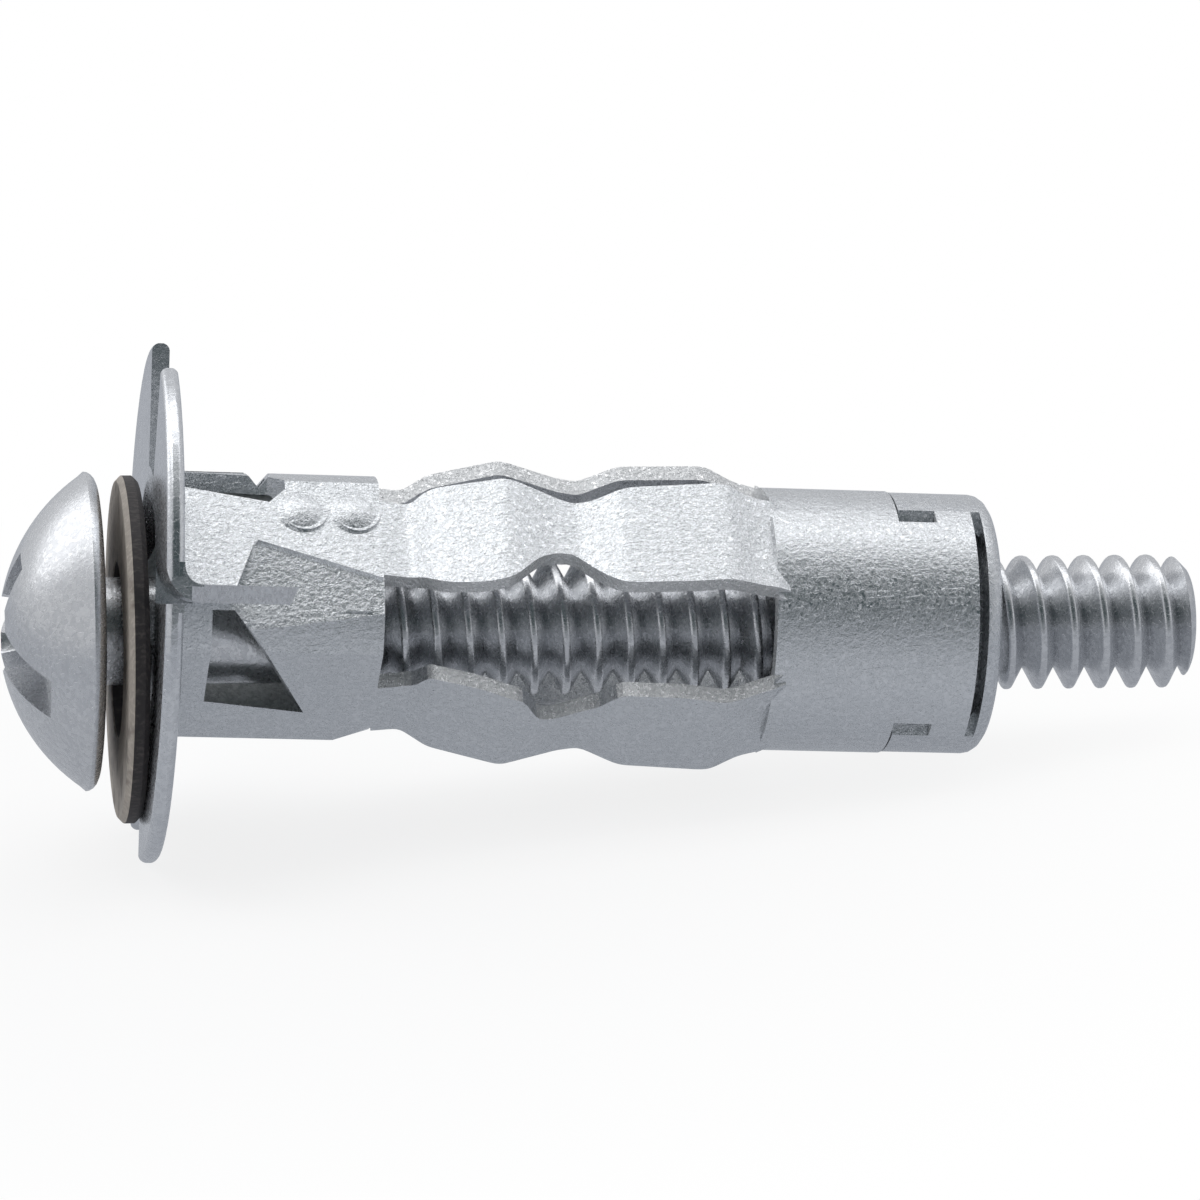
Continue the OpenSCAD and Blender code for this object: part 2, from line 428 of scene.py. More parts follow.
class Wiring:
    """A node tree being built, with short calls for the nodes that the finishes use."""

    def __init__(self, tree: bpy.types.NodeTree) -> None:
        """Keeps the tree.

        Args:
            tree: The material's or the group's tree.
        """
        self.tree = tree

    def add(self, kind: str, settings: dict[str, object] | None = None, **inputs: object) -> bpy.types.Node:
        """Adds a node.

        Args:
            kind: The node's type name.
            settings: Its properties.
            inputs: Values or output sockets for its inputs, by name with _ for a space or by in0, in1 and so on.

        Returns:
            The node.
        """
        node = self.tree.nodes.new(kind)
        for key, value in (settings or {}).items():
            setattr(node, key, value)
        for key, value in inputs.items():
            index = int(key[2:]) if key[:2] == "in" and key[2:].isdigit() else key.replace("_", " ")
            socket = node.inputs[index]
            if isinstance(value, bpy.types.NodeSocket):
                self.tree.links.new(value, socket)
            else:
                socket.default_value = value
        return node

    def maths(self, operation: str, a: object, b: object = 0.0, clamp: bool = False) -> bpy.types.NodeSocket:
        """Adds a Math node.

        Args:
            operation: The node's operation.
            a: First value or socket.
            b: Second value or socket.
            clamp: Keeps the result between 0 and 1.

        Returns:
            The result's socket.
        """
        node = self.add("ShaderNodeMath", {"operation": operation, "use_clamp": clamp}, in0=a, in1=b)
        return node.outputs[0]

    def spread(self, value: bpy.types.NodeSocket, low: float, high: float, to_low: float = 0.0,
               to_high: float = 1.0) -> bpy.types.NodeSocket:
        """Maps a value from one range to another and clamps it.

        Args:
            value: The value's socket.
            low: Value that becomes to_low.
            high: Value that becomes to_high.
            to_low: Result at low.
            to_high: Result at high.

        Returns:
            The result's socket.
        """
        node = self.add("ShaderNodeMapRange", {"interpolation_type": "SMOOTHSTEP"}, Value=value)
        for name, number in (("From Min", low), ("From Max", high), ("To Min", to_low), ("To Max", to_high)):
            node.inputs[name].default_value = number
        return node.outputs["Result"]

    def blend(self, factor: object, a: object, b: object, kind: str = "MIX") -> bpy.types.NodeSocket:
        """Mixes two colours.

        Args:
            factor: Share of the second colour.
            a: First colour or socket.
            b: Second colour or socket.
            kind: The blend type.

        Returns:
            The mixed colour's socket.
        """
        node = self.add("ShaderNodeMix", {"data_type": "RGBA", "blend_type": kind}, in0=factor, in6=a, in7=b)
        return node.outputs[2]


def socket(tree: bpy.types.NodeTree, name: str, kind: str, way: str = "INPUT", value: object = None) -> None:
    """Adds a named socket to a node group.

    Args:
        tree: The group.
        name: The socket's name.
        kind: Float, Color or Vector.
        way: INPUT or OUTPUT.
        value: Default of an input.
    """
    item = tree.interface.new_socket(name=name, in_out=way, socket_type=f"NodeSocket{kind}")
    if value is not None:
        item.default_value = value


def grain_group() -> bpy.types.NodeTree:
    """Builds the crystal grain of plating, once.

    Returns:
        A group with the inputs Scale, Pits and Scratches, and the outputs Grain, Blotch, Scratch and Height.
    """
    name = "plating_grain"
    if name in bpy.data.node_groups:
        return bpy.data.node_groups[name]
    tree = bpy.data.node_groups.new(name, "ShaderNodeTree")
    socket(tree, "Scale", "Float", value=1.0)
    socket(tree, "Pits", "Float", value=0.5)
    socket(tree, "Scratches", "Float", value=0.3)
    for output in ("Grain", "Blotch", "Scratch", "Height"):
        socket(tree, output, "Float", "OUTPUT")
    wire = Wiring(tree)
    given = wire.add("NodeGroupInput")
    where = wire.add("ShaderNodeTexCoord").outputs["Object"]
    scale = wire.maths("MULTIPLY", given.outputs["Scale"], 1000.0)
    point = wire.add("ShaderNodeVectorMath", {"operation": "SCALE"}, in0=where, Scale=scale).outputs[0]
    cells = wire.add("ShaderNodeTexVoronoi", {"feature": "F1"}, Vector=point, Scale=13.0, Randomness=1.0)
    fine = wire.add("ShaderNodeTexNoise", Vector=point, Scale=8.0, Detail=4.0, Roughness=0.7)
    crumbs = wire.add("ShaderNodeTexNoise", Vector=point, Scale=11.0, Detail=3.0, Roughness=0.6)
    cell_tone = wire.add("ShaderNodeSeparateColor", Color=cells.outputs["Color"]).outputs[0]
    mixed = wire.maths("ADD", wire.maths("MULTIPLY", cell_tone, 0.3),
                       wire.maths("MULTIPLY", fine.outputs["Fac"], 0.7))
    grain = wire.spread(mixed, 0.25, 0.75)
    large = wire.add("ShaderNodeTexNoise", Vector=point, Scale=0.9, Detail=3.0, Roughness=0.55)
    blotch = wire.spread(large.outputs["Fac"], 0.35, 0.68)
    pits = wire.maths("MULTIPLY", wire.spread(crumbs.outputs["Fac"], 0.60, 0.72), given.outputs["Pits"])
    drawn = wire.add("ShaderNodeMapping", Vector=point, Rotation=(0.0, 0.35, 0.5), Scale=(0.35, 9.0, 9.0))
    lines = wire.add("ShaderNodeTexNoise", Vector=drawn.outputs[0], Scale=1.6, Detail=2.0, Roughness=0.5)
    scratch = wire.maths("MULTIPLY", wire.spread(lines.outputs["Fac"], 0.64, 0.72), given.outputs["Scratches"])
    height = wire.maths("SUBTRACT", wire.maths("MULTIPLY", grain, 0.6), pits)
    height = wire.maths("SUBTRACT", height, wire.maths("MULTIPLY", scratch, 0.5))
    wire.add("NodeGroupOutput", Grain=grain, Blotch=blotch, Scratch=scratch, Height=height)
    return tree


@dataclass(frozen=True)
class Plating:
    """A zinc-plated finish.

    Args:
        name: The material's name.
        bright: Colour of the bright grains.
        dull: Colour of the dull grains.
        rough: Roughness at its lowest and highest.
        scale: Fineness of the grain.
        relief: Depth of the grain, in millimetres.
        pits: Share of pits.
        scratches: Strength of the scratches.
        metal: How metallic the surface is.
    """

    name: str
    bright: tuple[float, float, float, float]
    dull: tuple[float, float, float, float]
    rough: tuple[float, float] = (0.3, 0.5)
    scale: float = 1.0
    relief: float = 0.006
    pits: float = 0.5
    scratches: float = 0.3
    metal: float = 1.0

    def material(self) -> bpy.types.Material:
        """Builds the material.

        Returns:
            The material.
        """
        material = bpy.data.materials.new(self.name)
        material.use_nodes = True
        tree = material.node_tree
        tree.nodes.clear()
        wire = Wiring(tree)
        grain = wire.add("ShaderNodeGroup", {"node_tree": grain_group()}, Scale=self.scale, Pits=self.pits,
                         Scratches=self.scratches)
        tone = wire.blend(grain.outputs["Grain"], self.dull, self.bright)
        tone = wire.blend(wire.maths("MULTIPLY", grain.outputs["Blotch"], 0.22), tone, self.dull)
        tone = wire.blend(grain.outputs["Scratch"], tone, self.bright)
        low, high = self.rough
        rough = wire.spread(grain.outputs["Grain"], 0.0, 1.0, high, low)
        bump = wire.add("ShaderNodeBump", Strength=1.0, Distance=self.relief * MM, Height=grain.outputs["Height"])
        shader = wire.add("ShaderNodeBsdfPrincipled", Base_Color=tone, Roughness=rough, Metallic=self.metal,
                          Normal=bump.outputs[0])
        wire.add("ShaderNodeOutputMaterial", Surface=shader.outputs[0])
        return material


@dataclass(frozen=True)
class Fibre:
    """Brown vulcanised fibre.

    Args:
        name: The material's name.
        body: Colour of the sheet.
        cut: Colour of the paler fibres.
        dark: Colour of the stained patches.
    """

    name: str
    body: tuple[float, float, float, float] = (0.36, 0.32, 0.28, 1)
    cut: tuple[float, float, float, float] = (0.50, 0.45, 0.40, 1)
    dark: tuple[float, float, float, float] = (0.13, 0.11, 0.095, 1)

    def material(self) -> bpy.types.Material:
        """Builds the material.

        Returns:
            The material.
        """
        material = bpy.data.materials.new(self.name)
        material.use_nodes = True
        tree = material.node_tree
        tree.nodes.clear()
        wire = Wiring(tree)
        where = wire.add("ShaderNodeTexCoord").outputs["Object"]
        point = wire.add("ShaderNodeVectorMath", {"operation": "SCALE"}, in0=where, Scale=1000.0).outputs[0]
        drawn = wire.add("ShaderNodeMapping", Vector=point, Scale=(1.0, 3.4, 1.2))
        strands = wire.add("ShaderNodeTexNoise", Vector=drawn.outputs[0], Scale=5.0, Detail=5.0, Roughness=0.7)
        stains = wire.add("ShaderNodeTexNoise", Vector=point, Scale=1.1, Detail=3.0, Roughness=0.6)
        tone = wire.blend(wire.spread(strands.outputs["Fac"], 0.45, 0.68), self.body, self.cut)
        tone = wire.blend(wire.spread(stains.outputs["Fac"], 0.50, 0.70, 0.0, 0.75), tone, self.dark)
        bump = wire.add("ShaderNodeBump", Strength=1.0, Distance=0.012 * MM, Height=strands.outputs["Fac"])
        shader = wire.add("ShaderNodeBsdfPrincipled", Base_Color=tone, Roughness=0.62, Normal=bump.outputs[0])
        wire.add("ShaderNodeOutputMaterial", Surface=shader.outputs[0])
        return material


SHEET_ZINC = Plating("sheet_zinc", (0.74, 0.755, 0.775, 1), (0.64, 0.66, 0.68, 1), (0.18, 0.28), 1.0, 0.030, 0.25)
PRESSED_ZINC = Plating("pressed_zinc", (0.72, 0.735, 0.755, 1), (0.60, 0.615, 0.64, 1), (0.20, 0.30), 0.8, 0.008, 0.1)
# The neck's inside is zinc painted paler and barely metallic so that it shows lit: painted light.
INSIDE_PAINTED_LIGHT_ZINC = Plating("inside_zinc_painted_light", (0.80, 0.83, 0.83, 1), (0.55, 0.58, 0.58, 1), (0.3, 0.5), 0.9, 0.03, 0.3, metal=0.3)
SHEARED_ZINC = Plating("sheared_zinc", (0.92, 0.925, 0.93, 1), (0.62, 0.63, 0.64, 1), (0.26, 0.40), 1.3, 0.04, 0.4, 0.5, metal=0.85)
SCREW_ZINC = Plating("screw_zinc", (0.70, 0.71, 0.725, 1), (0.58, 0.59, 0.61, 1), (0.22, 0.32), 0.8, 0.008, 0.2, 0.2)
NUT_ZINC = Plating("nut_zinc", (0.72, 0.735, 0.755, 1), (0.58, 0.60, 0.625, 1), (0.20, 0.32), 1.0, 0.026, 0.3)
WASHER_FIBRE = Fibre("washer_fibre")
# The washer's rim and back take a near-black copy of its fibre: painted shade.
WASHER_SHADED_RIM = Fibre("washer_painted_shade_rim", (0.026, 0.022, 0.023, 1), (0.07, 0.06, 0.056, 1), (0.011, 0.010, 0.011, 1))


# ---------------------------------------------------------------- pieces


@dataclass
class MachineScrew:
    """The truss-head machine screw, in the leaning frame's millimetres.

    Args:
        head_r: Radius of the head.
        rim_h: Height of the head's rim.
        rim_r: Rounding of the rim's underside, across the head.
        rim_up: The same rounding, along the axis.
        dome_h: Height of the dome above the rim.
        shank_r: Radius of the plain shank.
        crest_r: Radius over the thread.
        root_r: Radius at the thread's root.
        pitch: The thread's pitch.
        thread_from: Depth at which the thread starts.
        chamfer: Length of the chamfer at the tip.
        wing_span: Span of the recess over its wings.
        wing_w: Width of the wings at the top.
        recess_deep: Depth of the recess.
        slot_w: Width of the driver slot across the head.
        slot_deep: Depth of that slot.
        slot_turn: Angle of the slot and the wings, in degrees.
        top: Height of the dome's top, read from the frame.
        tip: Depth of the tip, read from the frame.
    """

    head_r: float = 3.9
    rim_h: float = 0.26
    rim_r: float = 0.4
    rim_up: float = 0.3
    dome_h: float = 2.12
    shank_r: float = 1.32
    crest_r: float = 1.665
    root_r: float = 1.12
    pitch: float = 0.79375
    thread_from: float = 4.0
    chamfer: float = 0.35
    wing_span: float = 4.4
    wing_w: float = 0.75
    recess_deep: float = 1.75
    slot_w: float = 1.05
    slot_deep: float = 1.1
    slot_turn: float = -33
    top: float = 3.994
    tip: float = 25.6

    def read(self, place: Matrix) -> None:
        """Takes the screw's ends from the frame.

        Args:
            place: The leaning frame's matrix.
        """
        back = place.inverted()
        points = [back @ v.co for v in frame["nodes"]["screw"].data.vertices]
        under = min(p.z for p in points if p.xy.length > self.head_r - 0.05)
        self.top, self.tip = under + self.rim_h + self.dome_h, -min(p.z for p in points)

    def head(self) -> bpy.types.Object:
        """Turns the head and sinks the cross recess into it.

        Returns:
            The head.
        """
        under = self.top - self.dome_h - self.rim_h
        rim = under + self.rim_h
        ball = (self.head_r ** 2 + self.dome_h ** 2) / (2 * self.dome_h)
        middle = self.top - ball
        start = math.asin(self.head_r / ball)
        dome = [(ball * math.sin(start * (1 - i / 22)), middle + ball * math.cos(start * (1 - i / 22)))
                for i in range(1, 22)]
        side = [(self.head_r - self.rim_r + self.rim_r * math.sin(a), under + self.rim_up * (1 - math.cos(a)))
                for a in (0.0, 0.35, 0.7, 1.0, 1.3, 1.5708)]
        profile = [(0, under - 0.3), (self.shank_r, under - 0.3), (self.shank_r, under - 0.06),
                   (self.shank_r + 0.06, under)] + side
        profile += [(r, z) for r, z in dome if z > rim + 0.16] + [(0, self.top)]
        head = turned("screw_head", profile, 128)
        for turn in (0, 90):
            combine(head, self.wing(self.slot_turn + turn), Cut.CARVE)
        cone = turned("recess_cone", [(0, self.top - self.recess_deep), (0.6, self.top - self.recess_deep + 0.12),
                                      (1.2, self.top + 1), (0, self.top + 1)], 48)
        combine(head, cone, Cut.CARVE)
        slot = block("driver_slot", (2 * self.head_r + 1, self.slot_w, self.slot_deep + 1),
                     (0, 0, self.top + (1 - self.slot_deep) / 2),
                     Matrix.Rotation(math.radians(self.slot_turn), 3, "Z"))
        combine(head, slot, Cut.CARVE)
        soften(head, 0.09, 3, 40)
        smooth(head, 28)
        return head

    def wing(self, turn: float) -> bpy.types.Object:
        """Shapes one wing pair of the recess as a cutter that narrows inwards.

        Args:
            turn: Angle about the axis, in degrees.

        Returns:
            The cutter.
        """
        half, inner = self.wing_span / 2, self.wing_span / 5
        floor = self.top - self.recess_deep
        obj = block("recess_wing", (2 * half, self.wing_w, 1.0), (0, 0, self.top + 0.15))
        edit(obj, "FACE")
        choose_faces(obj, lambda face: face.normal.z < -0.9)
        bpy.ops.mesh.extrude_region_move(TRANSFORM_OT_translate={"value": (0, 0, floor - self.top + 0.35)})
        bpy.ops.transform.resize(value=(inner / half, 0.72, 1))
        done()
        obj.data.transform(Matrix.Rotation(math.radians(turn), 4, "Z"))
        outward(obj)
        return obj

    def thread(self) -> bpy.types.Object:
        """Winds one pitch of the thread's profile up the shank and trims both ends.

        Returns:
            The shank with its thread.
        """
        p, root, crest = self.pitch, self.root_r, self.crest_r
        turns = math.ceil((self.tip - self.thread_from) / p) + 3
        start = -self.tip - 1.5 * p
        rise = [(root, 0.0), (root + 0.04, 0.03), (crest - 0.05, 0.29), (crest - 0.012, 0.325), (crest, 0.36)]
        shape = rise + [(r, p - z) for r, z in reversed(rise)]
        obj = chain("screw_thread", [(r, start + z) for r, z in shape])
        apply_modifier(obj, "SCREW", axis="Z", angle=math.tau, steps=40, render_steps=40, screw_offset=p,
                       iterations=turns, use_merge_vertices=True, merge_threshold=1e-4)
        edit(obj)
        bpy.ops.mesh.select_all(action="SELECT")
        bpy.ops.mesh.remove_doubles(threshold=1e-4)
        bpy.ops.mesh.bisect(plane_co=(0, 0, -self.tip), plane_no=(0, 0, 1), use_fill=True, clear_inner=True)
        bpy.ops.mesh.select_all(action="SELECT")
        bpy.ops.mesh.bisect(plane_co=(0, 0, -self.thread_from + 0.3), plane_no=(0, 0, 1), use_fill=True,
                            clear_outer=True)
        bpy.ops.mesh.select_all(action="SELECT")
        bpy.ops.mesh.normals_make_consistent(inside=False)
        done()
        tip_r = crest - self.chamfer
        envelope = turned("thread_envelope", [
            (0, -self.tip + 0.001), (tip_r - 0.05, -self.tip + 0.001), (tip_r + 0.03, -self.tip + 0.04),
            (crest + 0.02, -self.tip + self.chamfer + 0.03), (crest + 0.02, -self.thread_from - 0.5),
            (root + 0.04, -self.thread_from), (0, -self.thread_from)], 72)
        combine(obj, envelope, Cut.KEEP)
        plain = turned("plain_shank", [
            (0, -self.thread_from - 0.5), (root - 0.05, -self.thread_from - 0.5),
            (self.shank_r - 0.1, -self.thread_from - 0.12), (self.shank_r, -self.thread_from + 0.02),
            (self.shank_r, self.top - self.dome_h - self.rim_h - 0.1),
            (0, self.top - self.dome_h - self.rim_h - 0.1)], 64)
        smooth(obj, 50)
        smooth(plain, 50)
        return join([obj, plain])

    def build(self, frames: AnchorFrame, finish: bpy.types.Material) -> bpy.types.Object:
        """Builds the screw and puts it in place.

        Args:
            frames: The anchor's frames.
            finish: The screw's material.

        Returns:
            The screw.
        """
        self.read(frames.screw)
        screw = join([self.head(), self.thread()])
        screw.name = "machine_screw"
        seat(screw, frames.screw, Body.SCREW, "screw", finish)
        return screw


@dataclass
class FibreWasher:
    """The retaining washer, in the leaning frame's millimetres.

    Args:
        outer_r: Outer radius.
        bore_r: Radius of the hole.
        drop: Distance that it hangs off the screw's centre.
        bevel_w: Width of the worn bevel round its rim.
    """

    outer_r: float = 4.25
    bore_r: float = 2.15
    drop: float = 0.45
    bevel_w: float = 0.13

    def build(self, frames: AnchorFrame, finish: bpy.types.Material, rim: bpy.types.Material) -> bpy.types.Object:
        """Turns the washer and puts it in place.

        Args:
            frames: The anchor's frames.
            finish: The material of its faces.
            rim: The material of its cut rim and of its back, a near-black copy of the fibre that paints shade on them.

        Returns:
            The washer.
        """
        back = frames.screw.inverted()
        heights = [(back @ v.co).z for v in frame["nodes"]["washer"].data.vertices]
        low, high = min(heights), max(heights)
        b, edge = self.bevel_w, 0.03
        washer = turned("fibre_washer", [
            (self.bore_r, low + edge), (self.bore_r + edge, low), (self.outer_r - b, low),
            (self.outer_r - 0.02, low + b * 0.8), (self.outer_r, low + b), (self.outer_r, high - b),
            (self.outer_r - 0.02, high - b * 0.8), (self.outer_r - b, high), (self.bore_r + edge, high),
            (self.bore_r, high - edge), (self.bore_r, low + edge)], 128)
        washer.data.transform(Matrix.Translation((0, -self.drop, 0)))
        smooth(washer, 25)
        washer.data.materials.append(finish)
        washer.data.materials.append(rim)
        # Faces that do not look towards the head take the near-black copy: painted shade.
        for face in washer.data.polygons:
            face.material_index = int(face.normal.z < 0.5)
        seat(washer, frames.screw, Body.WASHER, "washer")
        return washer


@dataclass
class EndNut:
    """The crimped end nut, in the sleeve's millimetres.

    Args:
        plate_r: Radius of the end plate.
        sheet: Thickness of its sheet.
        corner_r: Radius of the bend from the plate to the arms.
        arm_half: Half width of the arms.
        arm_deep: Depth at which the arms start.
        hub_r: Outer radius of the hub.
        hub_len: Length of the hub.
        bore_r: Radius of the threaded hole.
    """

    plate_r: float = 3.22
    sheet: float = 0.4
    corner_r: float = 0.42
    arm_half: float = 1.65
    arm_deep: float = 17.9
    hub_r: float = 2.3
    hub_len: float = 1.6
    bore_r: float = 1.72

    def build(self, frames: AnchorFrame, finish: bpy.types.Material, cut_edge: bpy.types.Material) -> bpy.types.Object:
        """Turns the cup, cuts its arms free and bores the hub.

        Args:
            frames: The anchor's frames.
            finish: The nut's material.
            cut_edge: The material of its sheared edges.

        Returns:
            The nut.
        """
        back = frames.sleeve.inverted()
        end = min((back @ v.co).z for v in frame["nodes"]["nut"].data.vertices)
        r, t, c = self.plate_r, self.sheet, self.corner_r
        bend = [(r - c + c * math.sin(a), end + c - c * math.cos(a)) for a in (0.0, 0.4, 0.8, 1.2, 1.5708)]
        cup = turned("end_nut", [(0, end)] + bend + [
            (r, -self.arm_deep), (r - t, -self.arm_deep), (r - t, end + t + 0.12), (r - t - 0.12, end + t),
            (self.hub_r + 0.1, end + t), (self.hub_r, end + t + 0.1), (self.hub_r, end + t + self.hub_len - 0.1),
            (self.hub_r - 0.1, end + t + self.hub_len), (0, end + t + self.hub_len)], 128)
        for side in (-1, 1):
            width = 2 * r
            waste = block("nut_waste", (width, 2 * r + 1, -end - self.arm_deep - t + 2),
                          (side * (self.arm_half + width / 2), 0, (end + t - self.arm_deep + 2) / 2 + 0.01))
            keep = turned("hub_keep", [(0, end - 1), (self.hub_r + 0.3, end - 1), (self.hub_r + 0.3, 2), (0, 2)], 64)
            combine(waste, keep, Cut.CARVE)
            combine(cup, waste, Cut.CARVE)
        bore = turned("nut_bore", [(0, -25), (self.bore_r, -25), (self.bore_r, 0), (0, 0)], 64)
        lean = frames.sleeve.inverted() @ frames.screw
        bore.data.transform(lean)
        combine(cup, bore, Cut.CARVE)
        soften(cup, 0.05, 2, 35)
        smooth(cup, 32)
        seat(cup, frames.sleeve, Body.SLEEVE, "nut", finish, cut_edge)
        return cup


# A leg's outer face, folded from the neck to the collar: distance from the axis, then depth below the
# slots' start. The upper legs are folded a little nearer to the neck than the lower ones.
UPPER_FACE: tuple[Point, ...] = (
    (2.72, -0.3), (2.72, 0), (2.62, 0.68), (3.06, 1.32), (3.45, 3.0), (3.14, 4.2), (3.08, 4.75), (3.4, 5.85),
    (3.5, 8.4), (3.25, 9.1), (3.14, 9.6), (3.0, 9.9))
LOWER_FACE: tuple[Point, ...] = (
    (2.72, -0.3), (2.72, 0), (2.62, 0.72), (3.06, 1.4), (3.45, 3.2), (3.14, 4.6), (3.08, 5.15), (3.4, 6.15),
    (3.5, 8.4), (3.25, 9.1), (3.14, 9.6), (3.0, 9.9))
# The edges to which the slots cut a leg: distance from the leg's middle, then depth below the slots' start.
# Each leg has one edge on a side slot and one on the top or bottom slot.
UPPER_SIDE_EDGE: tuple[Point, ...] = (
    (1.0, -0.3), (1.0, 0.8), (1.45, 1.4), (1.58, 2.4), (1.5, 3.05), (0.74, 3.75), (0.52, 4.2), (0.52, 4.65),
    (1.15, 5.25), (1.55, 5.8), (1.5, 7.5), (1.4, 8.9), (1.38, 9.9))
UPPER_BACK_EDGE: tuple[Point, ...] = (
    (1.3, -0.3), (1.2, 0.75), (1.42, 1.1), (1.5, 3.2), (1.25, 4.05), (1.05, 4.6), (1.05, 5.15), (1.35, 6.0),
    (1.5, 8.4), (1.25, 9.1), (1.25, 9.9))
LOWER_SIDE_EDGE: tuple[Point, ...] = (
    (0.4, -0.3), (0.4, 0.8), (1.2, 1.2), (1.28, 1.5), (1.24, 2.5), (1.0, 3.45), (0.05, 3.95), (-0.05, 4.4),
    (0.25, 5.25), (1.25, 5.95), (1.32, 7.35), (1.15, 8.85), (1.3, 9.4), (1.38, 9.9))
FAR_SIDE_EDGE: tuple[Point, ...] = (
    (0.9, -0.3), (0.9, 0.8), (1.45, 1.4), (1.6, 3.2), (1.55, 4.3), (1.5, 5.15), (1.6, 6.1), (1.6, 8.3),
    (1.3, 9.1), (1.38, 9.9))
LOWER_BACK_EDGE: tuple[Point, ...] = (
    (1.35, -0.3), (1.37, 0.75), (1.48, 1.4), (1.65, 3.2), (1.4, 4.6), (1.35, 5.15), (1.6, 6.1), (1.6, 8.3),
    (1.3, 9.1), (1.24, 9.9))


